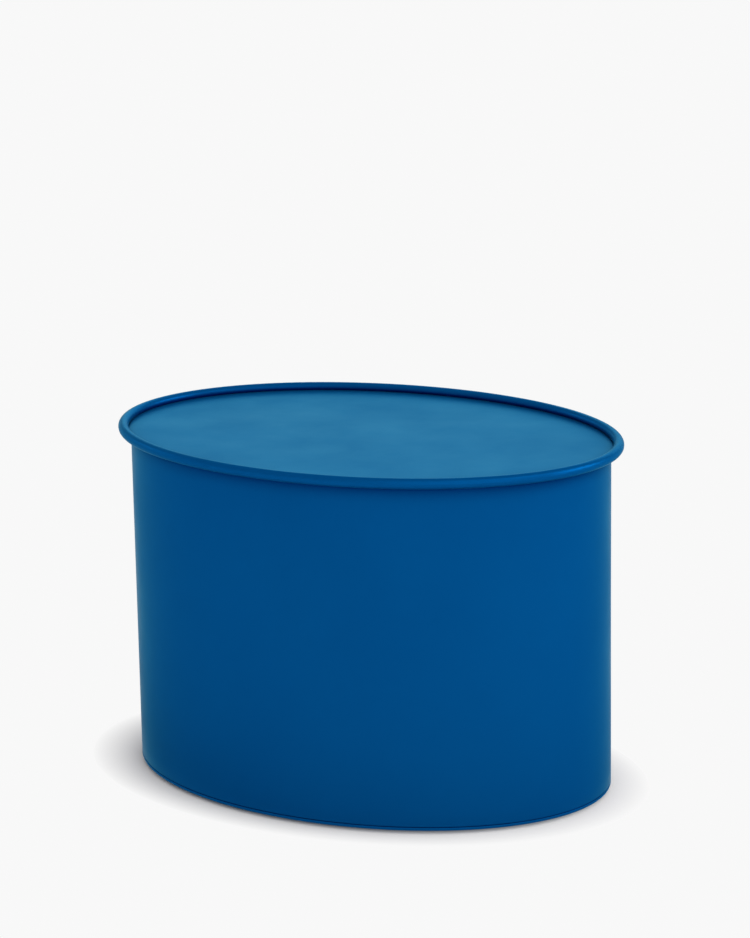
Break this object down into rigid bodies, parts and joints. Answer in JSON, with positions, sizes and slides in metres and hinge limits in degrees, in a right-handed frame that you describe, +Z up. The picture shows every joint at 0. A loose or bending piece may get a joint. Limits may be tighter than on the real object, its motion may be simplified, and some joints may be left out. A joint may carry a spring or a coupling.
{
  "type": "side table",
  "caption": "Oval sheet-steel side table: a hollow storage drum on levelling feet under a lift-off tray whose round rim stands out past the wall, in satin blue.",
  "frame": {"origin": "on the floor under the middle of the drum", "axes": "+X along the long axis of the oval, -Y to the front, +Z up; the wall seam is at the back, on +Y"},
  "size_m": [0.6089, 0.4429, 0.406],
  "materials": {
    "powder_coat": "satin blue powder coat",
    "zinc_steel": "bright zinc plating",
    "glide_plastic": "black nylon",
    "rest_rubber": "black rubber"
  },
  "bodies": {
    "drum": {"drum_wall": "powder_coat", "top_angle_ring": "powder_coat", "seam_strip": "powder_coat", "rest_pads": "rest_rubber", "floor_plate": "powder_coat", "foot_rail_left": "powder_coat", "foot_rail_right": "powder_coat", "weld_nuts": "zinc_steel"},
    "tray": {"tray_panel": "powder_coat", "rim_tube": "powder_coat", "locating_skirt": "powder_coat", "tray_stiffener_left": "powder_coat", "tray_stiffener_right": "powder_coat"},
    "foot_front_left": {"foot_stem_front_left": "zinc_steel", "foot_pad_front_left": "glide_plastic"},
    "foot_front_right": {"foot_stem_front_right": "zinc_steel", "foot_pad_front_right": "glide_plastic"},
    "foot_rear_left": {"foot_stem_rear_left": "zinc_steel", "foot_pad_rear_left": "glide_plastic"},
    "foot_rear_right": {"foot_stem_rear_right": "zinc_steel", "foot_pad_rear_right": "glide_plastic"}
  },
  "joints": [
    {"name": "tray_lift", "type": "slide", "parent": "drum", "child": "tray", "axis": [0, 0, 1], "range_m": [0, 0.2]},
    {"name": "foot_front_left_screw", "type": "slide", "parent": "drum", "child": "foot_front_left", "axis": [0, 0, -1], "range_m": [0, 0.006]},
    {"name": "foot_front_right_screw", "type": "slide", "parent": "drum", "child": "foot_front_right", "axis": [0, 0, -1], "range_m": [0, 0.006]},
    {"name": "foot_rear_left_screw", "type": "slide", "parent": "drum", "child": "foot_rear_left", "axis": [0, 0, -1], "range_m": [0, 0.006]},
    {"name": "foot_rear_right_screw", "type": "slide", "parent": "drum", "child": "foot_rear_right", "axis": [0, 0, -1], "range_m": [0, 0.006]}
  ]
}
